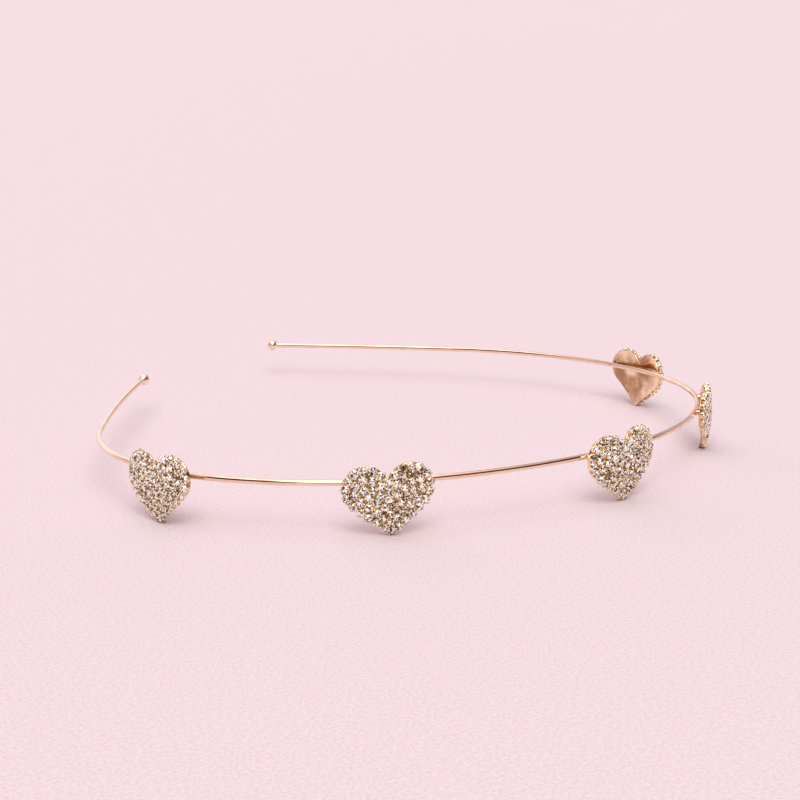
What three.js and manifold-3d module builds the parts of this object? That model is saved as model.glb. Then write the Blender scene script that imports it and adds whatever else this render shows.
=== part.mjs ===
// A slim wire headband with a ball on each end and paved hearts bonded along its crown.
// It stands on the tips of its hearts, with the wire loop nearly level above the surface.
// Units are millimetres, +Z is up, and the crown heart faces -Y.
import * as THREE from "three";
import { mergeVertices } from "three/addons/utils/BufferGeometryUtils.js";
import Module from "manifold-3d";

const wasm = await Module();
wasm.setup();

// Driving dimensions of the band
const WIRE_DIAMETER = 1.2;
const WIRE_SIDES = 10;
const WIRE_STEPS = 56;
const BALL_DIAMETER = 2.8;
const BALL_SIDES = 14;
const BALL_RINGS = 7;
const SOCKET_DEPTH = 1.6; // how far the wire's end sits in its ball
const SOCKET_CLEARANCE = 0.15;
const CROWN_HEIGHT = 10.4; // wire's centre over the surface at the crown
const BACKWARD_FALL = 0.015; // how much lower the wire lies for each millimetre behind the crown

// How the wire is bent, from its left end to its right end: arcs that follow each other smoothly
const BENDS = [
  { length: 55, turnDegrees: 9.0 },
  { length: 25, turnDegrees: 32.1 },
  { length: 30, turnDegrees: 37.1 },
  { length: 40, turnDegrees: 34.1 },
  { length: 45, turnDegrees: 25.4 },
  { length: 45, turnDegrees: 35.2 },
  { length: 40, turnDegrees: 43.8 },
  { length: 30, turnDegrees: 25.0 },
  { length: 30, turnDegrees: 21.4 },
  { length: 50, turnDegrees: 5.3 },
];

// Driving dimensions of a side heart: two round lobes and straight sides down to a rounded tip
const LOBE_RADIUS = 4.8;
const LOBE_SPREAD = 4.2; // each lobe's centre from the heart's middle
const HEART_HEIGHT = 14.6; // to the point that the tip's rounding takes off
const TIP_RADIUS = 0.9;
const DOME_RADIUS = 28; // the heart is dished, convex to the outside
const DOME_CENTRE = -1.5; // height of the dome's top, from the lobes' centres
const PLATE_THICKNESS = 0.55;
const TRAY_GAP = 0.15; // between the plate and the stones' setting
const TRAY_THICKNESS = 0.5;
const PLATE_INSET = 0.1;
const LEAN_DEGREES = 1; // tip inward, lobes outward
const WIRE_GAP = 0.3; // between the plate's rim and the wire that it is bonded to
const TIP_FLAT = 0.1; // each tip is worn flat by this much where it stands

// Each heart on the wire: its place, its size, its turn from facing square, and its tip's swing to the right
const HEARTS = [
  { along: 95.3, scale: 1, turnDegrees: -7, rollDegrees: 3 },
  { along: 140.5, scale: 1.01, turnDegrees: 0, rollDegrees: 4 },
  { along: 192.8, scale: 1.06, turnDegrees: 0, rollDegrees: 4.5 },
  { along: 241, scale: 1, turnDegrees: 0, rollDegrees: 0 },
  { along: 284, scale: 1, turnDegrees: 0, rollDegrees: 0 },
];
const CROWN_ALONG = 193.5; // the place on the wire that faces -Y

// Driving dimensions of the stones
const STONE_SIDES = 8;
const STONE_PITCH = 1.78;
const ROW_PITCH = 1.55;
const ROW_CENTRE = -3.2; // height of the rows' common middle, from the lobes' centres
const STONE_EDGE = 0.8; // first row's centres, in from the outline
const CLOSEST_STONES = 1.5; // seats nearer than this to one already taken are left out
const SPOT_GRID = 0.3; // spacing of the places tried for stones in the gaps between rows
const EASY_SPACING = 1.9; // stones inside the first row are eased apart up to this spacing
const EASING_ROUNDS = 60;
const EASING_STEP = 0.25; // share of what is missing that one round makes up
const GIRDLE_RADIUS = 0.78; // a stone's widest place, hidden in its setting
const TABLE_RADIUS = 0.42;
const CROWN_RISE = 0.45;
const STONE_ROOT = 0.3; // how deep a stone sits in its setting

// Facet counts of the hearts
const LOBE_STEPS = 9;
const SIDE_STEPS = 3;
const TIP_STEPS = 2;
const INNER_RING = 0.55; // a shell's inner ring of corners, as a share of the way to its edge
const INNER_STRIDE = 4; // corners of the edge for each corner of the inner ring
const OUTLINE_PROBES = 160; // rays that find a row of stones
const INSET_HALVINGS = 24; // how often a row's place on a ray is halved in
const TRIM_BLOCK = 60; // size of the block that trims a tip
const TOP_BLOCK = 2; // height of the block that cuts a stone's top
const MERGE_WITHIN = 1e-4;

const GOLD = { color: 0xd9a066, roughness: 0.22, metalness: 1 };
const CRYSTAL = { color: 0xe9dfcf, roughness: 0.08, metalness: 0.1 };

const radians = THREE.MathUtils.degToRad;

// Point and heading on the wire's centre line, a given length from its left end
function bandPoint(along) {
  let [x, y, heading, left] = [0, 0, 0, along];
  for (const bend of BENDS) {
    const run = Math.min(left, bend.length);
    const turn = (radians(bend.turnDegrees) * run) / bend.length;
    const chord = run * (turn ? Math.sin(turn / 2) / (turn / 2) : 1);
    x += chord * Math.cos(heading + turn / 2);
    y += chord * Math.sin(heading + turn / 2);
    heading += turn;
    left -= run;
    if (left <= 0) break;
  }
  return { x, y, heading };
}

const BAND_LENGTH = BENDS.reduce((sum, bend) => sum + bend.length, 0);
const CROWN = bandPoint(CROWN_ALONG);

// The same, turned so that the crown faces -Y, with the wire's height over the surface
function seatOnBand(along) {
  const { x, y, heading } = bandPoint(along);
  const [dx, dy] = [x - CROWN.x, y - CROWN.y];
  const [c, s] = [Math.cos(-CROWN.heading), Math.sin(-CROWN.heading)];
  const back = s * dx + c * dy;
  return {
    point: new THREE.Vector3(c * dx - s * dy, back, CROWN_HEIGHT - BACKWARD_FALL * back),
    heading: heading - CROWN.heading,
  };
}

class BandCurve extends THREE.Curve {
  getPoint(t, target = new THREE.Vector3()) {
    return target.copy(seatOnBand(t * BAND_LENGTH).point);
  }
}

// A closed geometry as a solid, and a solid as a geometry, for joins and cuts
function solidOf(geometry) {
  const bare = new THREE.BufferGeometry();
  bare.setAttribute("position", geometry.getAttribute("position"));
  if (geometry.index) bare.setIndex(geometry.index);
  const merged = mergeVertices(bare, MERGE_WITHIN);
  return new wasm.Manifold(
    new wasm.Mesh({
      numProp: 3,
      vertProperties: merged.attributes.position.array,
      triVerts: new Uint32Array(merged.index.array),
    }),
  );
}

function geometryOf(solid) {
  const { vertProperties, triVerts } = solid.getMesh();
  const geometry = new THREE.BufferGeometry();
  geometry.setAttribute("position", new THREE.BufferAttribute(vertProperties, 3));
  geometry.setIndex(new THREE.BufferAttribute(triVerts, 1));
  geometry.computeVertexNormals();
  return geometry;
}

function namedMesh(name, geometry, look) {
  const mesh = new THREE.Mesh(geometry, new THREE.MeshStandardMaterial(look));
  mesh.name = name;
  return mesh;
}

// The wire: a round section swept along the bent centre line
function makeWire() {
  const section = new THREE.Shape();
  for (let i = 0; i < WIRE_SIDES; i++) {
    const angle = (2 * Math.PI * i) / WIRE_SIDES;
    const [x, y] = [Math.cos(angle), Math.sin(angle)].map((v) => (v * WIRE_DIAMETER) / 2);
    if (i) section.lineTo(x, y);
    else section.moveTo(x, y);
  }
  const sweep = { steps: WIRE_STEPS, extrudePath: new BandCurve() };
  return namedMesh("band_wire", new THREE.ExtrudeGeometry(section, sweep), GOLD);
}

// A ball with a blind socket for the wire's end, turned about its own Y axis with the mouth at -Y
function makeBall(name, along, outward) {
  const radius = BALL_DIAMETER / 2;
  const bore = (WIRE_DIAMETER / 2 + SOCKET_CLEARANCE) / Math.cos(Math.PI / BALL_SIDES);
  const mouth = -Math.sqrt(radius * radius - bore * bore);
  const floor = mouth + SOCKET_DEPTH + SOCKET_CLEARANCE;
  const profile = [new THREE.Vector2(0, floor), new THREE.Vector2(bore, floor)];
  const start = Math.atan2(mouth, bore);
  for (let i = 0; i <= BALL_RINGS; i++) {
    const angle = THREE.MathUtils.lerp(start, Math.PI / 2, i / BALL_RINGS);
    const reach = i === BALL_RINGS ? 0 : radius * Math.cos(angle);
    profile.push(new THREE.Vector2(reach, radius * Math.sin(angle)));
  }
  const ball = namedMesh(name, geometryOf(solidOf(new THREE.LatheGeometry(profile, BALL_SIDES))), GOLD);
  const seat = seatOnBand(along);
  const axis = new THREE.Vector3(Math.cos(seat.heading), Math.sin(seat.heading), 0).multiplyScalar(outward);
  ball.quaternion.setFromUnitVectors(new THREE.Vector3(0, 1, 0), axis);
  ball.position.copy(seat.point).addScaledVector(axis, -mouth - SOCKET_DEPTH);
  return ball;
}

// A heart's outline from its tip round to the right: x is across, and y is up from the lobes' centres
function heartOutline(scale) {
  const [radius, spread] = [LOBE_RADIUS * scale, LOBE_SPREAD * scale];
  const sharpTip = radius - HEART_HEIGHT * scale;
  const reach = Math.hypot(spread, sharpTip);
  const slope = Math.atan2(spread, -sharpTip) + Math.asin(radius / reach); // side from the vertical
  const tipCentre = sharpTip + TIP_RADIUS / Math.sin(slope);
  const notchAngle = Math.PI - Math.acos(spread / radius);
  const half = [];
  for (let i = 0; i <= TIP_STEPS; i++) {
    const angle = -Math.PI / 2 + ((Math.PI / 2 - slope) * i) / TIP_STEPS;
    half.push([TIP_RADIUS * Math.cos(angle), tipCentre + TIP_RADIUS * Math.sin(angle)]);
  }
  const lobe = (angle) => [spread + radius * Math.cos(angle), radius * Math.sin(angle)];
  const [tipEnd, lobeStart] = [half[TIP_STEPS], lobe(-slope)];
  for (let i = 1; i < SIDE_STEPS; i++) {
    half.push(tipEnd.map((value, axis) => THREE.MathUtils.lerp(value, lobeStart[axis], i / SIDE_STEPS)));
  }
  for (let i = 0; i <= LOBE_STEPS; i++) {
    half.push(lobe(THREE.MathUtils.lerp(-slope, notchAngle, i / LOBE_STEPS)));
  }
  half[0][0] = 0;
  half[half.length - 1][0] = 0;
  const mirrored = half.slice(1, -1).reverse().map(([x, y]) => [-x, y]);
  return [...half, ...mirrored].map(([x, y]) => new THREE.Vector2(x, y));
}

// The place on a closed outline that is nearest to a point, and its distance
function nearestOn(outline, point) {
  let nearest = outline[0];
  outline.forEach((corner, i) => {
    const side = outline[(i + 1) % outline.length].clone().sub(corner);
    const share = point.clone().sub(corner).dot(side) / side.lengthSq();
    const foot = corner.clone().addScaledVector(side, THREE.MathUtils.clamp(share, 0, 1));
    if (foot.distanceTo(point) < nearest.distanceTo(point)) nearest = foot;
  });
  return nearest;
}

function distanceTo(outline, point) {
  return nearestOn(outline, point).distanceTo(point);
}

// The line that keeps a constant inset from a heart's outline, found along rays from its middle
function insetLine(outline, inset, middle) {
  const line = [];
  for (let i = 0; i < OUTLINE_PROBES; i++) {
    const angle = -Math.PI / 2 + (2 * Math.PI * i) / OUTLINE_PROBES;
    const ray = new THREE.Vector2(Math.cos(angle), Math.sin(angle));
    let [near, far] = [0, rayLength(outline, middle, ray)];
    for (let step = 0; step < INSET_HALVINGS; step++) {
      const half = (near + far) / 2;
      if (distanceTo(outline, middle.clone().addScaledVector(ray, half)) > inset) near = half;
      else far = half;
    }
    line.push(middle.clone().addScaledVector(ray, near));
  }
  return line;
}

// How far a ray from inside an outline runs before it crosses the outline
function rayLength(outline, from, ray) {
  let length = 0;
  outline.forEach((corner, i) => {
    const next = outline[(i + 1) % outline.length];
    const edge = next.clone().sub(corner);
    const gap = corner.clone().sub(from);
    const cross = ray.cross(edge);
    if (Math.abs(cross) < 1e-9) return;
    const along = gap.cross(edge) / cross;
    const share = gap.cross(ray) / cross;
    if (along > 0 && share >= 0 && share <= 1) length = Math.max(length, along);
  });
  return length;
}

// An even number of points at about the given pitch round a closed line, starting at its first point
function evenly(line, pitch) {
  const steps = line.map((p, i) => p.distanceTo(line[(i + 1) % line.length]));
  const total = steps.reduce((sum, step) => sum + step, 0);
  const count = 2 * Math.max(1, Math.round(total / (2 * pitch)));
  const points = [];
  let [i, passed] = [0, 0];
  for (let n = 0; n < count; n++) {
    const wanted = (total * n) / count;
    while (passed + steps[i] < wanted) passed += steps[i++];
    points.push(line[i].clone().lerp(line[(i + 1) % line.length], (wanted - passed) / steps[i]));
  }
  return points;
}

// Places on a fine grid that are far enough inside an outline for a stone
function stoneSpots(outline, middle) {
  const spots = [];
  const box = new THREE.Box2().setFromPoints(outline);
  for (let x = box.min.x; x < box.max.x; x += SPOT_GRID) {
    for (let y = box.min.y; y < box.max.y; y += SPOT_GRID) {
      const spot = new THREE.Vector2(x, y);
      const ray = spot.clone().sub(middle);
      const reach = ray.length();
      const inside = rayLength(outline, middle, ray.divideScalar(reach)) > reach;
      if (inside && distanceTo(outline, spot) > STONE_EDGE) spots.push(spot);
    }
  }
  return spots;
}

// Evens out the stones inside the first row: each moves off near neighbours and keeps off the edge
function easeApart(seats, first, outline) {
  for (const seat of seats.slice(first)) {
    const push = new THREE.Vector2();
    for (const other of seats) {
      const gap = seat.clone().sub(other);
      const missing = EASY_SPACING - gap.length();
      if (other !== seat && missing > 0) push.add(gap.setLength(EASING_STEP * missing));
    }
    seat.add(push);
    const edge = nearestOn(outline, seat);
    if (seat.distanceTo(edge) < STONE_EDGE) seat.sub(edge).setLength(STONE_EDGE).add(edge);
  }
}

// Where the stones sit: rows that follow the outline, one inside the other, then the widest gaps left
function stoneSeats(scale) {
  const outline = heartOutline(scale);
  const middle = new THREE.Vector2(0, ROW_CENTRE * scale);
  const deepest = distanceTo(outline, middle);
  const seats = [];
  const room = (spot) => seats.reduce((least, seat) => Math.min(least, seat.distanceTo(spot)), Infinity);
  let firstRow = 0;
  for (let inset = STONE_EDGE; inset < deepest; inset += ROW_PITCH) {
    for (const seat of evenly(insetLine(outline, inset, middle), STONE_PITCH)) {
      if (room(seat) > CLOSEST_STONES) seats.push(seat);
    }
    firstRow ||= seats.length;
  }
  let spots = stoneSpots(outline, middle);
  while (spots.length) {
    spots = spots.filter((spot) => room(spot) > CLOSEST_STONES);
    const best = spots.reduce((a, b) => (room(b) > room(a) ? b : a), spots[0]);
    if (best) seats.push(best);
  }
  for (let round = 0; round < EASING_ROUNDS; round++) easeApart(seats, firstRow, outline);
  return seats;
}

// A point of the dished heart: across and up on its face, and out from the back of its plate
function domed(across, up, out, scale) {
  const rise = up - DOME_CENTRE * scale;
  const fall = (across * across + rise * rise) / (2 * DOME_RADIUS);
  return new THREE.Vector3(across, fall - out, up);
}

// A dished shell with the heart's outline, between two distances out from the plate's back
function shellGeometry(scale, inset, inner, outer) {
  const middle = new THREE.Vector2(0, DOME_CENTRE * scale);
  const outline = heartOutline(scale);
  const edge = outline.map((p) => {
    const reach = p.distanceTo(middle);
    return p.clone().sub(middle).multiplyScalar((reach - inset) / reach);
  });
  const positions = [];
  const faces = [];
  const kept = edge.filter((p, i) => i % INNER_STRIDE === 0);
  const ring = kept.map((p) => p.clone().multiplyScalar(INNER_RING));
  const corners = [new THREE.Vector2(), ...ring, ...edge].map((p) => p.add(middle));
  for (const out of [inner, outer]) {
    for (const p of corners) positions.push(...domed(p.x, p.y, out, scale).toArray());
  }
  const [front, rim] = [corners.length, 1 + ring.length];
  const bothSides = (a, b, c) => faces.push(front + a, front + b, front + c, a, c, b);
  for (let i = 0; i < edge.length; i++) {
    const [here, next] = [rim + i, rim + ((i + 1) % edge.length)];
    const spoke = 1 + Math.floor(i / INNER_STRIDE);
    bothSides(spoke, here, next);
    if ((i + 1) % INNER_STRIDE === 0) {
      const nextSpoke = 1 + (spoke % ring.length);
      bothSides(spoke, next, nextSpoke);
      bothSides(0, spoke, nextSpoke);
    }
    faces.push(here, next, front + next, here, front + next, front + here);
  }
  const geometry = new THREE.BufferGeometry();
  geometry.setAttribute("position", new THREE.Float32BufferAttribute(positions, 3));
  geometry.setIndex(faces);
  return geometry;
}

// One stone before its top is cut: a pyramid with a facet for each side, rooted in its setting
function stoneGeometry() {
  const height = ((CROWN_RISE + STONE_ROOT) * GIRDLE_RADIUS) / (GIRDLE_RADIUS - TABLE_RADIUS);
  const pyramid = new THREE.ConeGeometry(GIRDLE_RADIUS, height, STONE_SIDES);
  return pyramid.translate(0, height / 2 - STONE_ROOT, 0);
}

// What is cut off a stone's top to leave its flat table
function tableCut() {
  const block = new THREE.BoxGeometry(2 * TABLE_RADIUS, TOP_BLOCK, 2 * TABLE_RADIUS);
  return block.translate(0, CROWN_RISE + TOP_BLOCK / 2, 0);
}

// The setting and its field of stones, fused into one body
function pavedSolid(scale) {
  const inner = PLATE_THICKNESS + TRAY_GAP;
  const outer = inner + TRAY_THICKNESS;
  let field = solidOf(shellGeometry(scale, 0, inner, outer));
  const [stone, top] = [stoneGeometry(), tableCut()];
  for (const seat of stoneSeats(scale)) {
    const slope = new THREE.Vector3(seat.x, -DOME_RADIUS, seat.y - DOME_CENTRE * scale).normalize();
    const turn = new THREE.Quaternion().setFromUnitVectors(new THREE.Vector3(0, 1, 0), slope);
    const place = new THREE.Matrix4().makeRotationFromQuaternion(turn);
    place.setPosition(domed(seat.x, seat.y, outer, scale));
    field = field.add(solidOf(stone.clone().applyMatrix4(place)));
    field = field.subtract(solidOf(top.clone().applyMatrix4(place)));
  }
  return field;
}

// How far the plate's back stands out from the wire, so that its rim's nearer side just clears the wire
function standOff(row) {
  const halfWidth = (LOBE_SPREAD + LOBE_RADIUS) * row.scale - PLATE_INSET;
  const rise = DOME_CENTRE * row.scale;
  const rimFall = (halfWidth * halfWidth + rise * rise) / (2 * DOME_RADIUS);
  const middle = seatOnBand(row.along);
  const outward = new THREE.Vector3(Math.sin(middle.heading), -Math.cos(middle.heading), 0);
  const turn = radians(row.turnDegrees);
  const needs = [-halfWidth, halfWidth].map((side) => {
    const wireFall = middle.point.clone().sub(seatOnBand(row.along + side).point).dot(outward);
    return rimFall * Math.cos(turn) + side * Math.sin(turn) - wireFall;
  });
  return Math.max(...needs) + WIRE_GAP + WIRE_DIAMETER / 2;
}

// One heart on the wire: its plate and its paved face, with its tip standing on the surface
function makeHeart(row, number) {
  const heart = new THREE.Group();
  const seat = seatOnBand(row.along);
  const outward = new THREE.Vector3(Math.sin(seat.heading), -Math.cos(seat.heading), 0);
  heart.position.copy(seat.point).addScaledVector(outward, standOff(row)).setZ(0);
  const facing = seat.heading + radians(row.turnDegrees);
  heart.rotation.set(radians(LEAN_DEGREES), -radians(row.rollDegrees), facing, "ZXY");
  const solids = {
    plate: solidOf(shellGeometry(row.scale, PLATE_INSET, 0, PLATE_THICKNESS)),
    stones: pavedSolid(row.scale),
  };
  heart.updateMatrixWorld(true);
  const lowest = Object.values(solids).map((solid) => {
    const turned = geometryOf(solid).applyMatrix4(heart.matrixWorld);
    turned.computeBoundingBox();
    return turned.boundingBox.min.z;
  });
  heart.position.z = -Math.max(...lowest) - TIP_FLAT;
  heart.updateMatrixWorld(true);
  const below = new THREE.BoxGeometry(TRIM_BLOCK, TRIM_BLOCK, TRIM_BLOCK);
  below.translate(seat.point.x, seat.point.y, -TRIM_BLOCK / 2);
  const under = solidOf(below.applyMatrix4(heart.matrixWorld.clone().invert()));
  const looks = { plate: GOLD, stones: CRYSTAL };
  for (const [piece, solid] of Object.entries(solids)) {
    heart.add(namedMesh(`heart_${piece}_${number}`, geometryOf(solid.subtract(under)), looks[piece]));
  }
  return heart;
}

const headband = new THREE.Group();
headband.add(makeWire());
headband.add(makeBall("ball_end_left", 0, -1));
headband.add(makeBall("ball_end_right", BAND_LENGTH, 1));
HEARTS.forEach((row, i) => headband.add(makeHeart(row, i + 1)));

// The origin is on the surface, under the middle of the headband's box
const bounds = new THREE.Box3().setFromObject(headband, true);
const middle = bounds.getCenter(new THREE.Vector3());
headband.position.set(-middle.x, -middle.y, 0);

export default headband;
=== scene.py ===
"""Looks of the heart headband: rose-gold wire and balls, dished hearts and paved stones."""

import math
import random

import bpy
from mathutils import Euler, Matrix, Vector


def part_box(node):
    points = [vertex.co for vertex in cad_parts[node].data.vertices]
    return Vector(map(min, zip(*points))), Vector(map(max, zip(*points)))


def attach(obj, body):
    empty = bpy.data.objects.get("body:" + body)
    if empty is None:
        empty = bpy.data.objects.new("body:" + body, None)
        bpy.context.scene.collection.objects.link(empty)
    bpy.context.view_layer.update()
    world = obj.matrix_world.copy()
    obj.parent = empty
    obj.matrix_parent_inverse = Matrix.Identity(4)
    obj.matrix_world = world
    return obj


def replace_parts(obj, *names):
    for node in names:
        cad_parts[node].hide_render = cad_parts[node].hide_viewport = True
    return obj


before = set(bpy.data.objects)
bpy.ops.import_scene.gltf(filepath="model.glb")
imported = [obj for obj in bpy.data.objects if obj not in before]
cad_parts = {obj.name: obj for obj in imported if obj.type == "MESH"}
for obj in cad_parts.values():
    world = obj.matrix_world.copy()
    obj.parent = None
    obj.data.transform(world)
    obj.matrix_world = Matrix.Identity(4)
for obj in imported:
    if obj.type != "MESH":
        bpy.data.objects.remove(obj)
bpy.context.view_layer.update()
rng = random.Random(7)

# Sizes are in mm
MM = 0.001
UP = Vector((0, 0, 1))
LOWEST = 0.02

# The wire, from its left end to its right end: (arc length, turn in degrees)
BENDS = [
    (55, 9.0),
    (25, 32.1),
    (30, 37.1),
    (40, 34.1),
    (45, 25.4),
    (45, 35.2),
    (40, 43.8),
    (30, 25.0),
    (30, 21.4),
    (50, 5.3),
]
BAND_LENGTH = sum(length for length, turn in BENDS)
WIRE_RADIUS = 0.6
WIRE_SIDES = 24
WIRE_STEPS = 520
CROWN_ALONG = 193.5
CROWN_HEIGHT = 10.4
BACKWARD_FALL = 0.015

# The balls, with collars of (distance out from the wire, distance behind the ball)
BALL_RADIUS = 1.4
BALL_SET_BACK = 0.43
BALL_NECK = 0.28
BALL_STEPS = 28
BALL_SIDES = 48
COLLAR = [(0.12, 0.3), (0.2, 0.1)]
COLLAR_END = 0.35

# Hearts: (distance along the wire, size, degrees turned from facing square, degrees that
# the tip swings)
HEARTS = [
    (95.3, 1.0, -7, 3),
    (140.5, 1.01, 0, 4),
    (192.8, 1.06, 0, 4.5),
    (241, 1.0, 0, 0),
    (284, 1.0, 0, 0),
]
LOBE_RADIUS = 4.8
LOBE_SPREAD = 4.2
HEART_HEIGHT = 14.6
TIP_RADIUS = 0.9
DOME_RADIUS = 28
DOME_CENTRE = -1.5
LEAN = math.radians(1)
WIRE_GAP = 0.3

# Plates, trays and bonds. A shell's rings are at these shares of the way to its outline.
PLATE_THICKNESS = 0.55
PLATE_INSET = 0.1
PLATE_EDGE = 0.35
TRAY_BACK = 0.45
TRAY_FLOOR = 0.85
TRAY_INSET = 0.75
SHELL_RINGS = [0.12, 0.3, 0.5, 0.7, 0.86]
EDGE_STEPS = 8
BOND_RADIUS = 0.66
BOND_STEPS = 8
BOND_SIDES = 16
LONGEST_BOND = 1.6

# Where the stones sit
STONE_LEVEL = 1.2
STONE_PITCH = 1.78
ROW_PITCH = 1.55
ROW_CENTRE = -3.2
STONE_EDGE = 0.8
CLOSEST_STONES = 1.5
SPOT_GRID = 0.3
EASY_SPACING = 1.9
EASING_ROUNDS = 60
EASING_STEP = 0.25
PROBES = 160
PROBE_STEPS = 40
FINEST_PROBE = 0.005

# A stone's cut, for a stone of the usual radius
STONE_RADIUS = 0.84
SMALLEST_STONE = 0.74
LARGEST_STONE = 0.95
STONE_OVERHANG = 0.06
STONE_TILT = 0.11
TIP_CLEARANCE = 0.08
FACETS = 8
TABLE_RADIUS = 0.46
TABLE_HEIGHT = 0.42
KITE_RADIUS = 0.68
KITE_HEIGHT = 0.25
GIRDLE_HEIGHT = 0.04
FOOT_HEIGHT = -0.3
FOOT_SHARE = 0.94

# Share of facets painted dark, as painted reflections: table, star, kite and the two girdle
# facets
PAINTED_DARK_FACETS = (0.42, 0.48, 0.44, 0.62, 0.62)
# Share of stones with a painted dark reflection on most facets, and their share of dark facets
DARK_REFLECTION_STONES = 0.06
DARK_REFLECTION_SHARE = 0.88
# Painted light on a facet: the dark and bright ranges, and the girdle walls' painted shade
DARK_SHADES = (0, 0.26)
BRIGHT_SHADES = (0.5, 1)
GIRDLE_SHADE = 0.25

# A stone's cup, (distance out from the girdle, height), and its claws, (height, lean over
# the stone, share of the radius)
CUP_WALL = 0.05
CUP_SIDES = 16
CUP = [(0, -0.78), (CUP_WALL, -0.1), (CUP_WALL, 0.03), (-0.01, 0.05), (-0.01, 0)]
CLAWS = 4
CLAW_RADIUS = 0.2
CLAW_SIDES = 8
CLAW = [
    (-0.5, 0, 0),
    (-0.5, 0, 1),
    (0, 0, 1),
    (0.2, 0.05, 1),
    (0.34, 0.14, 0.85),
    (0.41, 0.22, 0.5),
    (0.43, 0.24, 0),
]


# The wire's route

def band_point(along):
    x = y = heading = 0.0
    left = along
    for length, turn in BENDS:
        run = min(left, length)
        bend = math.radians(turn) * run / length
        chord = run * (math.sin(bend / 2) / (bend / 2) if bend else 1)
        x += chord * math.cos(heading + bend / 2)
        y += chord * math.sin(heading + bend / 2)
        heading += bend
        left -= run
        if left <= 0:
            break
    return x, y, heading


CROWN = band_point(CROWN_ALONG)


def seat_on_band(along):
    """Point and heading on the wire, with the crown as the origin and facing -Y."""
    x, y, heading = band_point(along)
    turned = Matrix.Rotation(-CROWN[2], 2) @ Vector((x - CROWN[0], y - CROWN[1]))
    height = CROWN_HEIGHT - BACKWARD_FALL * turned.y
    return Vector((turned.x, turned.y, height)), heading - CROWN[2]


def left_ball_centre():
    point, heading = seat_on_band(0)
    return point + BALL_SET_BACK * Vector((math.cos(heading), math.sin(heading), 0))


ball_low, ball_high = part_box("ball_end_left")
SHIFT = (ball_low + ball_high) / 2 / MM - left_ball_centre()
SHIFT.z = 0


# Meshes

def mesh_piece(name, points, faces, material, smooth=True):
    mesh = bpy.data.meshes.new(name)
    mesh.from_pydata([p * MM for p in points], [], faces)
    mesh.materials.append(material)
    mesh.polygons.foreach_set("use_smooth", [smooth] * len(faces))
    mesh.update()
    piece = bpy.data.objects.new(name, mesh)
    bpy.context.scene.collection.objects.link(piece)
    return piece


class Builder:
    """Collects the points and faces of one piece."""

    def __init__(self):
        self.points = []
        self.faces = []

    def add(self, points, faces):
        start = len(self.points)
        self.points.extend(points)
        self.faces.extend([tuple(start + i for i in face) for face in faces])


def circle(sides, radius, height, turn=0):
    """Points round the Z axis, the first one this share of a step past the X axis."""
    points = []
    for i in range(sides):
        angle = 2 * math.pi * (i + turn) / sides
        points.append(Vector((radius * math.cos(angle), radius * math.sin(angle), height)))
    return points


def rings_mesh(rings, first_point=None, last_point=None):
    """Faces between closed rings of equal length, with a point to close each end."""
    points = [p for ring in rings for p in ring]
    count = len(rings[0])
    faces = []
    for r in range(len(rings) - 1):
        for i in range(count):
            j = (i + 1) % count
            a, b = r * count, (r + 1) * count
            faces.append((a + i, a + j, b + j, b + i))
    if first_point is not None:
        points.append(first_point)
        faces += [(len(points) - 1, (i + 1) % count, i) for i in range(count)]
    if last_point is not None:
        points.append(last_point)
        base = (len(rings) - 1) * count
        faces += [(len(points) - 1, base + i, base + (i + 1) % count) for i in range(count)]
    return points, faces


def lathe(profile, sides):
    """A body turned about Z from (radius, height) pairs, closed on the axis at both ends."""
    rings = [circle(sides, radius, height) for radius, height in profile[1:-1]]
    return rings_mesh(rings, profile[0][1] * UP, profile[-1][1] * UP)


def on_surface(points):
    """The points, with none under the surface that the part stands on."""
    return [Vector((p.x, p.y, max(p.z, LOWEST))) for p in points]


# Heart outlines and the stones' seats

def heart_outline(scale, tip_steps=8, side_steps=10, lobe_steps=44):
    radius, spread = LOBE_RADIUS * scale, LOBE_SPREAD * scale
    sharp_tip = radius - HEART_HEIGHT * scale
    slope = math.atan2(spread, -sharp_tip) + math.asin(radius / math.hypot(spread, sharp_tip))
    tip_centre = Vector((0, sharp_tip + TIP_RADIUS / math.sin(slope)))
    notch = math.pi - math.acos(spread / radius)
    half = []
    for i in range(tip_steps + 1):
        angle = -math.pi / 2 + (math.pi / 2 - slope) * i / tip_steps
        half.append(tip_centre + TIP_RADIUS * Vector((math.cos(angle), math.sin(angle))))

    def lobe(angle):
        return Vector((spread + radius * math.cos(angle), radius * math.sin(angle)))

    tip_end, lobe_start = half[-1], lobe(-slope)
    half += [tip_end.lerp(lobe_start, i / side_steps) for i in range(1, side_steps)]
    half += [lobe(-slope + (notch + slope) * i / lobe_steps) for i in range(lobe_steps + 1)]
    half[0].x = half[-1].x = 0
    return half + [Vector((-p.x, p.y)) for p in reversed(half[1:-1])]


def nearest_on(outline, point):
    nearest = outline[0]
    for i, corner in enumerate(outline):
        side = outline[(i + 1) % len(outline)] - corner
        share = max(0.0, min(1.0, (point - corner).dot(side) / side.length_squared))
        foot = corner + share * side
        if (foot - point).length < (nearest - point).length:
            nearest = foot
    return nearest


def distance_to(outline, point):
    return (nearest_on(outline, point) - point).length


def is_inside(outline, point):
    inside = False
    for i, a in enumerate(outline):
        b = outline[(i + 1) % len(outline)]
        if (a.y > point.y) != (b.y > point.y):
            if point.x < a.x + (b.x - a.x) * (point.y - a.y) / (b.y - a.y):
                inside = not inside
    return inside


def inset_line(outline, inset, middle):
    """The line this far inside an outline, found along rays from the middle."""
    line = []
    reach = max((p - middle).length for p in outline)
    for i in range(PROBES):
        angle = -math.pi / 2 + 2 * math.pi * i / PROBES
        ray = Vector((math.cos(angle), math.sin(angle)))
        near, step = 0.0, reach / PROBE_STEPS
        while step > FINEST_PROBE:
            if distance_to(outline, middle + (near + step) * ray) > inset:
                near += step
            else:
                step /= 2
        line.append(middle + near * ray)
    return line


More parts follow.
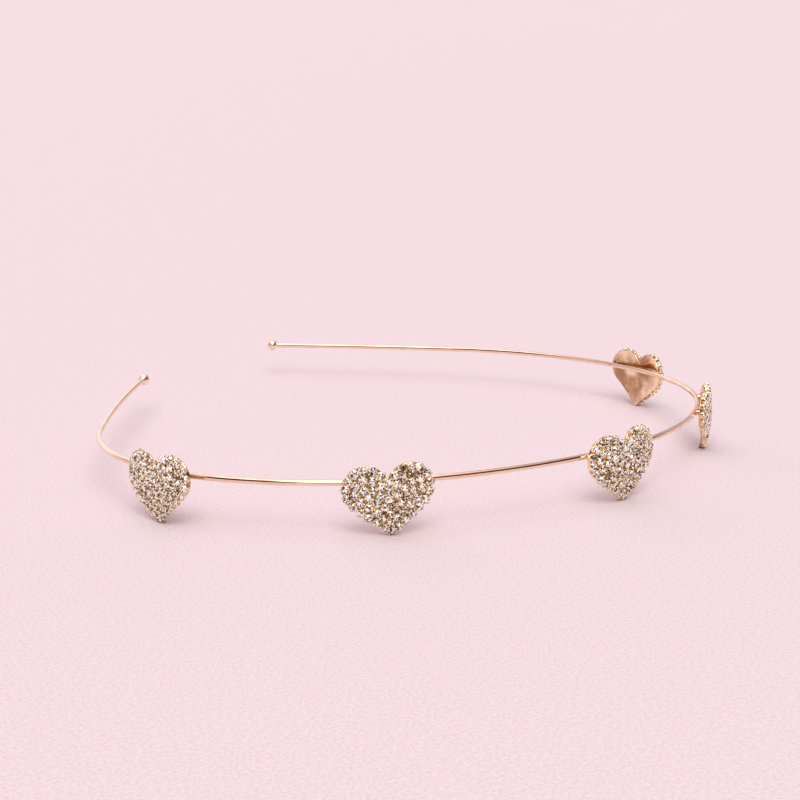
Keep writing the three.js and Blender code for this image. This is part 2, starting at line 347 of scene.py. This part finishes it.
def evenly(line, pitch):
    """Points at even steps round a closed line, an even number of them."""
    steps = [(p - line[(i + 1) % len(line)]).length for i, p in enumerate(line)]
    total = sum(steps)
    count = 2 * max(1, round(total / (2 * pitch)))
    found = []
    i, passed = 0, 0.0
    for n in range(count):
        wanted = total * n / count
        while passed + steps[i] < wanted:
            passed += steps[i]
            i += 1
        found.append(line[i].lerp(line[(i + 1) % len(line)], (wanted - passed) / steps[i]))
    return found


def ease_apart(seats, first, outline):
    """Each stone inside the first row moves off near neighbours and keeps off the edge."""
    for n in range(first, len(seats)):
        push = Vector((0, 0))
        for other, seat in enumerate(seats):
            gap = seats[n] - seat
            missing = EASY_SPACING - gap.length
            if other != n and missing > 0:
                push += gap.normalized() * EASING_STEP * missing
        moved = seats[n] + push
        edge = nearest_on(outline, moved)
        if (moved - edge).length < STONE_EDGE:
            moved = edge + (moved - edge).normalized() * STONE_EDGE
        seats[n] = moved


def stone_seats(scale):
    """Rows that follow the outline, one inside the other, then the widest gaps left."""
    outline = heart_outline(scale, tip_steps=2, side_steps=3, lobe_steps=9)
    middle = Vector((0, ROW_CENTRE * scale))
    deepest = distance_to(outline, middle)
    seats = []

    def room(spot):
        return min(((spot - seat).length for seat in seats), default=math.inf)

    first_row = 0
    inset = STONE_EDGE
    while inset < deepest:
        for seat in evenly(inset_line(outline, inset, middle), STONE_PITCH):
            if room(seat) > CLOSEST_STONES:
                seats.append(seat)
        first_row = first_row or len(seats)
        inset += ROW_PITCH
    left, low = min(p.x for p in outline), min(p.y for p in outline)
    spots = []
    for i in range(int(-2 * left / SPOT_GRID) + 1):
        for j in range(int(HEART_HEIGHT * scale / SPOT_GRID) + 1):
            spot = Vector((left + i * SPOT_GRID, low + j * SPOT_GRID))
            if is_inside(outline, spot) and distance_to(outline, spot) > STONE_EDGE:
                spots.append(spot)
    while spots:
        spots = [spot for spot in spots if room(spot) > CLOSEST_STONES]
        if spots:
            seats.append(max(spots, key=room))
    for _ in range(EASING_ROUNDS):
        ease_apart(seats, first_row, outline)
    return seats


# Parts of a heart, before it stands on the wire

def domed(across, up, out, scale):
    rise = up - DOME_CENTRE * scale
    return Vector((across, (across * across + rise * rise) / (2 * DOME_RADIUS) - out, up))


def dished_shell(scale, inset, back, front):
    """A dished heart between two distances out from the plate's back, with a round edge."""
    middle = Vector((0, DOME_CENTRE * scale))
    outline = heart_outline(scale)
    rounding = (front - back) / 2
    profile = [(share, 0.0, back) for share in SHELL_RINGS]
    for i in range(EDGE_STEPS + 1):
        angle = math.pi * i / EDGE_STEPS
        drop = inset + rounding * (1 - math.sin(angle))
        profile.append((1.0, drop, back + rounding * (1 - math.cos(angle))))
    profile += [(share, 0.0, front) for share in reversed(SHELL_RINGS)]
    rings = []
    for share, drop, out in profile:
        ring = []
        for p in outline:
            reach = (p - middle).length
            at = middle + (p - middle) * ((reach * share - drop) / reach)
            ring.append(domed(at.x, at.y, out, scale))
        rings.append(ring)
    return rings_mesh(rings, *(domed(0, middle.y, out, scale) for out in (back, front)))


def stone_mesh():
    """A round brilliant's crown, axis +Z, with table, star, kite and girdle facets."""
    points = [TABLE_HEIGHT * UP]
    points += circle(FACETS, TABLE_RADIUS, TABLE_HEIGHT)
    points += circle(FACETS, KITE_RADIUS, KITE_HEIGHT, 0.5)
    points += circle(2 * FACETS, STONE_RADIUS, GIRDLE_HEIGHT)
    points += circle(2 * FACETS, STONE_RADIUS * FOOT_SHARE, FOOT_HEIGHT)
    table, kite, girdle, foot = (1 + n * FACETS for n in (0, 1, 2, 4))
    faces = []
    for k in range(FACETS):
        after, before = (k + 1) % FACETS, (k - 1) % FACETS
        corner, between, corner_after = (girdle + n for n in (2 * k, 2 * k + 1, 2 * after))
        faces.append((0, table + k, table + after))
        faces.append((table + k, kite + k, table + after))
        faces.append((table + k, kite + before, corner, kite + k))
        faces.append((kite + k, corner, between))
        faces.append((kite + k, between, corner_after))
    for i in range(2 * FACETS):
        j = (i + 1) % (2 * FACETS)
        faces.append((girdle + i, foot + i, foot + j, girdle + j))
    return points, faces


def claw_mesh():
    """A claw, axis +Z, bent over towards -X at its head, with a round top."""
    rings = []
    for height, lean, share in CLAW:
        ring = circle(CLAW_SIDES, CLAW_RADIUS * share, height)
        rings.append([p - Vector((lean, 0, 0)) for p in ring])
    return rings_mesh(rings[1:-1], rings[0][0], rings[-1][0])


def cup_mesh():
    """The thin cup round one stone, axis +Z."""
    return rings_mesh([circle(CUP_SIDES, STONE_RADIUS + out, height) for out, height in CUP])


# Materials

def new_material(name):
    material = bpy.data.materials.new(name)
    material.use_nodes = True
    tree = material.node_tree
    return material, tree, tree.nodes["Principled BSDF"]


def noise(tree, scale, detail):
    """Noise in the piece's own coordinates."""
    place = tree.nodes.new("ShaderNodeTexCoord")
    node = tree.nodes.new("ShaderNodeTexNoise")
    node.inputs["Scale"].default_value = scale
    node.inputs["Detail"].default_value = detail
    tree.links.new(place.outputs["Object"], node.inputs["Vector"])
    return node.outputs["Fac"]


def ramp(tree, value, stops):
    """The colour of a value, from (position, colour) stops."""
    node = tree.nodes.new("ShaderNodeValToRGB")
    elements = node.color_ramp.elements
    while len(elements) < len(stops):
        elements.new(0.5)
    for element, (position, colour) in zip(elements, stops):
        element.position = position
        element.color = (*colour, 1)
    tree.links.new(value, node.inputs["Fac"])
    return node.outputs["Color"]


def mapped(tree, value, reads, gives, kind="LINEAR"):
    """A node that maps the range that it reads to the range that it gives."""
    node = tree.nodes.new("ShaderNodeMapRange")
    node.interpolation_type = kind
    for end, low, high in (("From", *reads), ("To", *gives)):
        node.inputs[f"{end} Min"].default_value = low
        node.inputs[f"{end} Max"].default_value = high
    tree.links.new(value, node.inputs["Value"])
    return node


def bump(tree, height, strength, depth):
    """A node that bends the normal by a height, this many mm deep."""
    node = tree.nodes.new("ShaderNodeBump")
    node.inputs["Strength"].default_value = strength
    node.inputs["Distance"].default_value = depth * MM
    tree.links.new(height, node.inputs["Height"])
    return node


# Plating: the noise's range that runs from the deep tone to the pale one, and that of the wear
TONE_RANGE = (0.38, 0.6)
WEAR_RANGE = (0.3, 0.7)
WEAR_SCALE = 900
WEAR_DEPTH = 0.1
DENT_SCALE = 110


def gold_material(name, pale, deep, roughness, clouds=260, dents=0.0):
    """Gold plating in two tones, with a little wear in the gloss and dents this many mm deep. The
    tones differ at random, and on the plate their brown and pale patches are painted reflections.
    """
    material, tree, shader = new_material(name)
    stops = list(zip(TONE_RANGE, (deep, pale)))
    tone = ramp(tree, noise(tree, clouds, detail=4), stops)
    wear = noise(tree, WEAR_SCALE, detail=5)
    gloss = mapped(tree, wear, WEAR_RANGE, roughness)
    dented = bump(tree, noise(tree, DENT_SCALE, detail=0), 1, dents)
    worn = bump(tree, wear, 0.04, WEAR_DEPTH)
    tree.links.new(dented.outputs["Normal"], worn.inputs["Normal"])
    tree.links.new(tone, shader.inputs["Base Color"])
    tree.links.new(gloss.outputs["Result"], shader.inputs["Roughness"])
    tree.links.new(worn.outputs["Normal"], shader.inputs["Normal"])
    shader.inputs["Metallic"].default_value = 1
    return material


def crystal_material():
    """Foil-backed crystal: each facet's colour is painted light, its own share of the light that
    the foil sends back.
    """
    material, tree, shader = new_material("crystal")
    facet = tree.nodes.new("ShaderNodeAttribute")
    facet.attribute_name = "facet"
    # Painted reflections: near black and brown, gold like the claws nearby, then cream and white
    stops = [
        (0.04, (0.03, 0.024, 0.02)),
        (0.2, (0.2, 0.15, 0.1)),
        (0.36, (0.72, 0.54, 0.32)),
        (0.5, (1.0, 0.96, 0.88)),
        (0.7, (1.0, 1.0, 0.98)),
    ]
    tree.links.new(ramp(tree, facet.outputs["Fac"], stops), shader.inputs["Base Color"])
    shader.inputs["Metallic"].default_value = 0.35
    shader.inputs["Roughness"].default_value = 0.08
    shader.inputs["Coat Weight"].default_value = 1
    shader.inputs["Coat Roughness"].default_value = 0.02
    return material


def floor_material():
    material, tree, shader = new_material("pale_cloth")
    stops = [(0.35, (0.702, 0.583, 0.602)), (0.65, (0.764, 0.685, 0.709))]
    weave = noise(tree, 1700, detail=3)
    tree.links.new(ramp(tree, weave, stops), shader.inputs["Base Color"])
    shader.inputs["Roughness"].default_value = 0.9
    shader.inputs["Specular IOR Level"].default_value = 0.1
    return material


rose_gold = gold_material("rose_gold", (0.95, 0.74, 0.57), (0.9, 0.66, 0.48), (0.03, 0.08))
ball_gold = gold_material("ball_gold", (0.97, 0.84, 0.68), (0.93, 0.77, 0.6), (0.24, 0.33))
# The plate's brown and pale patches are painted reflections over its gold.
plate_gold_and_painted_reflections = gold_material(
    "plate_gold_and_painted_reflections", (1.0, 0.77, 0.53), (0.44, 0.25, 0.13), (0.05, 0.12), clouds=170, dents=0.9)
claw_gold = gold_material("claw_gold", (1.0, 0.84, 0.58), (0.9, 0.7, 0.44), (0.1, 0.22))
# The tray's dark gold is painted shade between the stones' cups.
tray_painted_shade = gold_material("tray_painted_shade", (0.42, 0.28, 0.15), (0.28, 0.17, 0.085), (0.25, 0.4))
crystal = crystal_material()


# Wire and balls

def wire_piece():
    rings = []
    for n in range(WIRE_STEPS + 1):
        point, heading = seat_on_band(BAND_LENGTH * n / WIRE_STEPS)
        side = Vector((math.sin(heading), -math.cos(heading), 0))
        section = circle(WIRE_SIDES, WIRE_RADIUS, 0)
        rings.append([point + SHIFT + side * p.x + UP * p.y for p in section])
    ends = [seat_on_band(along)[0] + SHIFT for along in (0, BAND_LENGTH)]
    points, faces = rings_mesh(rings, *ends)
    return mesh_piece("wire_band", points, faces, rose_gold)


def ball_piece(name, along, outward):
    """A ball with a short collar where the wire enters it."""
    profile = [(0, -BALL_RADIUS - COLLAR_END)]
    profile += [(WIRE_RADIUS + out, -BALL_RADIUS - behind) for out, behind in COLLAR]
    start = math.acos((WIRE_RADIUS + BALL_NECK) / BALL_RADIUS)
    for i in range(BALL_STEPS):
        angle = -start + (start + math.pi / 2) * i / BALL_STEPS
        profile.append((BALL_RADIUS * math.cos(angle), BALL_RADIUS * math.sin(angle)))
    profile.append((0, BALL_RADIUS))
    points, faces = lathe(profile, BALL_SIDES)
    point, heading = seat_on_band(along)
    axis = outward * Vector((math.cos(heading), math.sin(heading), 0))
    turn = UP.rotation_difference(axis).to_matrix()
    place = point + SHIFT - BALL_SET_BACK * axis
    return mesh_piece(name, [place + turn @ p for p in points], faces, ball_gold)


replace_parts(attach(wire_piece(), "root"), "band_wire")
for name, along, outward in (("left", 0, -1), ("right", BAND_LENGTH, 1)):
    ball = ball_piece(f"ball_{name}", along, outward)
    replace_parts(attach(ball, "root"), f"ball_end_{name}")


# Hearts on the wire

def stand_off(along, scale, turn):
    """How far out from the wire's centre a heart stands, so that its rim clears the wire."""
    half_width = (LOBE_SPREAD + LOBE_RADIUS) * scale - PLATE_INSET
    rim_fall = (half_width**2 + (DOME_CENTRE * scale) ** 2) / (2 * DOME_RADIUS)
    point, heading = seat_on_band(along)
    outward = Vector((math.sin(heading), -math.cos(heading), 0))
    needs = []
    for side in (-half_width, half_width):
        wire_fall = (point - seat_on_band(along + side)[0]).dot(outward)
        needs.append(rim_fall * math.cos(turn) + side * math.sin(turn) - wire_fall)
    return max(needs) + WIRE_GAP + WIRE_RADIUS


def heart_matrix(number, along, scale, turn, roll):
    """Where a heart stands: on its seat along the wire, at the height of its CAD plate."""
    point, heading = seat_on_band(along)
    outward = Vector((math.sin(heading), -math.cos(heading), 0))
    place = point + outward * stand_off(along, scale, turn) + SHIFT
    facing = Matrix.Rotation(heading + turn, 3, "Z") @ Matrix.Rotation(LEAN, 3, "X")
    facing = facing @ Matrix.Rotation(-roll, 3, "Y")
    highest = -math.inf
    for p in heart_outline(scale):
        for out in (0, PLATE_THICKNESS):
            highest = max(highest, (facing @ domed(p.x, p.y, out, scale)).z)
    place.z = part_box(f"heart_plate_{number}")[1].z / MM - highest
    return Matrix.Translation(place) @ facing.to_4x4()


def bonds(along, scale, place):
    """Drops of metal from the wire's centre to the back of a plate's rim, where it is near."""
    half_width = (LOBE_SPREAD + LOBE_RADIUS) * scale - PLATE_EDGE - BOND_RADIUS
    found = []
    for side in (-half_width, half_width):
        wire = seat_on_band(along + side)[0] + SHIFT
        up = (place.inverted() @ wire).z
        rim = place @ domed(side, up, PLATE_THICKNESS / 2, scale)
        reach = (rim - wire).length
        if reach > LONGEST_BOND:
            continue
        profile = [(0, -BOND_RADIUS)]
        for i in range(1, BOND_STEPS):
            angle = math.pi * (i / BOND_STEPS - 0.5)
            lift = reach * (0.5 + 0.5 * math.sin(angle))
            height = BOND_RADIUS * math.sin(angle) + lift
            profile.append((BOND_RADIUS * math.cos(angle), height))
        profile.append((0, reach + 0.5 * BOND_RADIUS))
        points, faces = lathe(profile, BOND_SIDES)
        turn = UP.rotation_difference(rim - wire).to_matrix()
        found.append(([wire + turn @ p for p in points], faces))
    return found


def clear_of_surface(seats, place, scale):
    """Moves a seat near the tip up until its cup clears the surface that the tip stands on."""
    cleared = []
    for seat in seats:
        height = (place @ domed(seat.x, seat.y, STONE_LEVEL, scale)).z
        lift = max(0, STONE_RADIUS + CUP_WALL + TIP_CLEARANCE - height)
        cleared.append(seat + Vector((0, lift)))
    return cleared


def stone_sizes(seats, outline):
    """Radii with which neighbours just miss each other and no stone hangs far over the edge."""
    sizes = []
    for seat in seats:
        nearest = min((seat - other).length for other in seats if other is not seat)
        at_edge = distance_to(outline, seat) + STONE_OVERHANG
        sizes.append(max(SMALLEST_STONE, min(LARGEST_STONE, nearest / 2, at_edge)))
    return sizes


def painted_facet_light():
    """Painted light for each facet of a stone: how much light it sends back. Now and then most of
    a stone gets a painted dark reflection.
    """
    shows_dark_reflection = rng.random() < DARK_REFLECTION_STONES
    shades = []
    for _ in range(FACETS):
        for dark_share in PAINTED_DARK_FACETS:
            is_dark = rng.random() < (DARK_REFLECTION_SHARE if shows_dark_reflection else dark_share)
            shades.append(rng.uniform(*(DARK_SHADES if is_dark else BRIGHT_SHADES)))
    return shades + [GIRDLE_SHADE] * (2 * FACETS)


def plate_pieces(number, along, scale, place):
    """A heart's plate with its bonds, and the tray that the stones' cups stand in."""
    plate = Builder()
    points, faces = dished_shell(scale, PLATE_EDGE, 0, PLATE_THICKNESS)
    plate.add([place @ p for p in points], faces)
    for points, faces in bonds(along, scale, place):
        plate.add(points, faces)
    back = mesh_piece(f"heart_back_{number}", on_surface(plate.points), plate.faces, plate_gold_and_painted_reflections)
    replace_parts(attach(back, "root"), f"heart_plate_{number}")

    points, faces = dished_shell(scale, TRAY_INSET, TRAY_BACK, TRAY_FLOOR)
    points = on_surface([place @ p for p in points])
    tray = mesh_piece(f"heart_tray_{number}", points, faces, tray_painted_shade)
    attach(tray, "root")


def paving_pieces(number, scale, place):
    """A heart's stones, and the cups and claws that hold them."""
    setting, gems, shades = Builder(), Builder(), []
    cup, claw, stone = cup_mesh(), claw_mesh(), stone_mesh()
    middle = Vector((0, ROW_CENTRE * scale))
    seats = clear_of_surface(stone_seats(scale), place, scale)
    for seat, radius in zip(seats, stone_sizes(seats, heart_outline(scale))):
        share = radius / STONE_RADIUS
        spin = rng.uniform(0, 2 * math.pi)
        normal = Vector((seat.x, -DOME_RADIUS, seat.y - DOME_CENTRE * scale)).normalized()
        upright = UP.rotation_difference(normal).to_matrix()
        base = domed(seat.x, seat.y, STONE_LEVEL, scale)
        setting.add([place @ (base + upright @ (share * p)) for p in cup[0]], cup[1])
        facing = math.atan2(seat.y - middle.y, seat.x - middle.x)
        out = Vector((radius + CUP_WALL, 0, 0))
        for k in range(CLAWS):
            around = Matrix.Rotation(2 * math.pi * (k + 0.5) / CLAWS - facing, 3, "Z")
            points = [place @ (base + upright @ (around @ (p + out))) for p in claw[0]]
            setting.add(points, claw[1])
        tilts = [rng.uniform(-STONE_TILT, STONE_TILT) for _ in range(2)]
        turn = upright @ Euler((*tilts, spin)).to_matrix()
        gems.add([place @ (base + turn @ (share * p)) for p in stone[0]], stone[1])
        shades += painted_facet_light()
    points = on_surface(setting.points)
    face = mesh_piece(f"heart_face_{number}", points, setting.faces, claw_gold)
    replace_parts(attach(face, "root"), f"heart_stones_{number}")

    points = on_surface(gems.points)
    stones = mesh_piece(f"heart_gems_{number}", points, gems.faces, crystal, smooth=False)
    # The facets' painted light goes into the crystal's colour.
    attribute = stones.data.attributes.new("facet", "FLOAT", "FACE")
    attribute.data.foreach_set("value", shades)
    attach(stones, "root")


for number, (along, scale, turn, roll) in enumerate(HEARTS, 1):
    place = heart_matrix(number, along, scale, math.radians(turn), math.radians(roll))
    plate_pieces(number, along, scale, place)
    paving_pieces(number, scale, place)


# Stage: a pale cloth that rises a little far away

FLAT_REACH = 3000
CLOTH_REACH = 9500
CLOTH_RISE = 300
CLOTH_RINGS = 20
CLOTH_SIDES = 96


def floor_piece():
    rings = []
    for n in range(CLOTH_RINGS + 1):
        share = n / CLOTH_RINGS
        radius = FLAT_REACH + share * (CLOTH_REACH - FLAT_REACH)
        rings.append(circle(CLOTH_SIDES, radius, CLOTH_RISE * share**2))
    points, faces = rings_mesh(rings, Vector((0, 0, 0)))
    return mesh_piece("floor", points, [tuple(reversed(f)) for f in faces], floor_material())


floor_piece()


# Light

WHITE = (1, 1, 0.98, 1)
WARM = (1, 0.5, 0.25, 1)
PINK = (1, 0.79, 0.86, 1)

# The tent's light overhead and at table height, the side where the table-height light is dark,
# and where each of these changes: the dot product with that side, and the height
OVERHEAD_LIGHT = 0.71
FAR_LIGHT = 0.6
NEAR_LIGHT = 0.01
DARK_SIDE = (-0.26, -0.97, 0)
DARK_EDGE = (-0.1, 0.2)
OVERHEAD_EDGE = (0.64, 0.84)

# Soft boxes and one warm glow: (direction, degrees of even light, degrees to its end, power,
# colour)
SOFT_BOXES = [
    ((-0.05, 0.1, 1.0), 15, 36, 1.2, WHITE),
    ((-0.45, -0.6, 0.88), 12, 27, 4.8, WHITE),
    ((0.25, 0.95, 0.2), 15, 40, 0.6, WHITE),
    ((-0.26, -0.97, 0), 60, 90, 0.07, WARM),
]


def studio_world():
    """A tent of soft light, dark at table height on one side, with soft boxes."""
    world = bpy.data.worlds.new("studio")
    world.use_nodes = True
    tree = world.node_tree
    place = tree.nodes.new("ShaderNodeTexCoord").outputs["Generated"]
    split = tree.nodes.new("ShaderNodeSeparateXYZ")
    tree.links.new(place, split.inputs["Vector"])

    def towards(direction):
        dot = tree.nodes.new("ShaderNodeVectorMath")
        dot.operation = "DOT_PRODUCT"
        dot.inputs[1].default_value = direction
        tree.links.new(place, dot.inputs[0])
        return dot.outputs["Value"]

    low = mapped(tree, towards(DARK_SIDE), DARK_EDGE, (FAR_LIGHT, NEAR_LIGHT), "SMOOTHSTEP")
    tent_range = (FAR_LIGHT, OVERHEAD_LIGHT)
    tent = mapped(tree, split.outputs["Z"], OVERHEAD_EDGE, tent_range, "SMOOTHSTEP")
    tree.links.new(low.outputs["Result"], tent.inputs["To Min"])
    tent_light = tree.nodes["Background"]
    tent_light.inputs["Color"].default_value = PINK
    tree.links.new(tent.outputs["Result"], tent_light.inputs["Strength"])
    total = tent_light.outputs["Background"]
    for direction, even, end, power, colour in SOFT_BOXES:
        edge = [math.cos(math.radians(angle)) for angle in (end, even)]
        facing = towards(Vector(direction).normalized())
        box = mapped(tree, facing, edge, (0, power), "SMOOTHSTEP")
        box_light = tree.nodes.new("ShaderNodeBackground")
        box_light.inputs["Color"].default_value = colour
        tree.links.new(box.outputs["Result"], box_light.inputs["Strength"])
        both = tree.nodes.new("ShaderNodeAddShader")
        tree.links.new(total, both.inputs[0])
        tree.links.new(box_light.outputs["Background"], both.inputs[1])
        total = both.outputs["Shader"]
    tree.links.new(total, tree.nodes["World Output"].inputs["Surface"])
    return world


bpy.context.scene.world = studio_world()
bpy.context.scene.view_settings.view_transform = "Standard"


# Camera

CAMERA_PLACE = Vector((-242.27, -207.6, 94.72)) + SHIFT
CAMERA_HEADING = math.radians(48.606)
CAMERA_PITCH = math.radians(13.198)
camera_data = bpy.data.cameras.new("camera")
camera_data.lens = 72
camera_data.sensor_width = 36
camera_data.clip_start = 0.01
camera = bpy.data.objects.new("camera", camera_data)
camera.location = CAMERA_PLACE * MM
camera.rotation_euler = (math.pi / 2 - CAMERA_PITCH, 0, CAMERA_HEADING - math.pi / 2)
bpy.context.scene.collection.objects.link(camera)
bpy.context.scene.camera = camera
